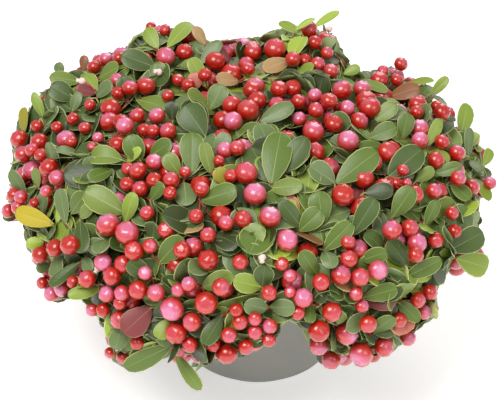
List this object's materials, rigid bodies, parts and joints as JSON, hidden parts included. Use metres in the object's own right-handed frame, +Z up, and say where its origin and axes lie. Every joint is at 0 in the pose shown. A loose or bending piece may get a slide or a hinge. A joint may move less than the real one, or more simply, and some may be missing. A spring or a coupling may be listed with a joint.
{
  "type": "potted wintergreen plant",
  "caption": "Low evergreen shrub with leathery leaves and red berries, spreading as a rounded mound over a plain round grey pot.",
  "frame": {"origin": "middle of the pot's flat underside, which is also the pot's axis", "axes": "+Z up; the side where the foliage parts over the pot faces -Y"},
  "size_m": [0.3411, 0.3235, 0.2165],
  "materials": {
    "grey_pot": "satin",
    "potting_soil": "matte",
    "woody_stem": "matte",
    "foliage": "satin"
  },
  "bodies": {
    "root": {"pot": "grey_pot", "potting_soil": "potting_soil", "root_crown": "woody_stem", "bough_top": "woody_stem", "bough_upper_1": "woody_stem", "bough_upper_2": "woody_stem", "bough_upper_3": "woody_stem", "bough_upper_4": "woody_stem", "bough_upper_5": "woody_stem", "bough_upper_6": "woody_stem", "bough_skirt_1": "woody_stem", "bough_skirt_2": "woody_stem", "bough_skirt_3": "woody_stem", "bough_skirt_4": "woody_stem", "bough_skirt_5": "woody_stem", "bough_skirt_6": "woody_stem", "bough_skirt_7": "woody_stem", "bough_skirt_8": "woody_stem", "bough_skirt_9": "woody_stem", "foliage_top": "foliage", "foliage_upper_1": "foliage", "foliage_upper_2": "foliage", "foliage_upper_3": "foliage", "foliage_upper_4": "foliage", "foliage_upper_5": "foliage", "foliage_upper_6": "foliage", "foliage_skirt_1": "foliage", "foliage_skirt_2": "foliage", "foliage_skirt_3": "foliage", "foliage_skirt_4": "foliage", "foliage_skirt_5": "foliage", "foliage_skirt_6": "foliage", "foliage_skirt_7": "foliage", "foliage_skirt_8": "foliage", "foliage_skirt_9": "foliage"}
  },
  "joints": []
}
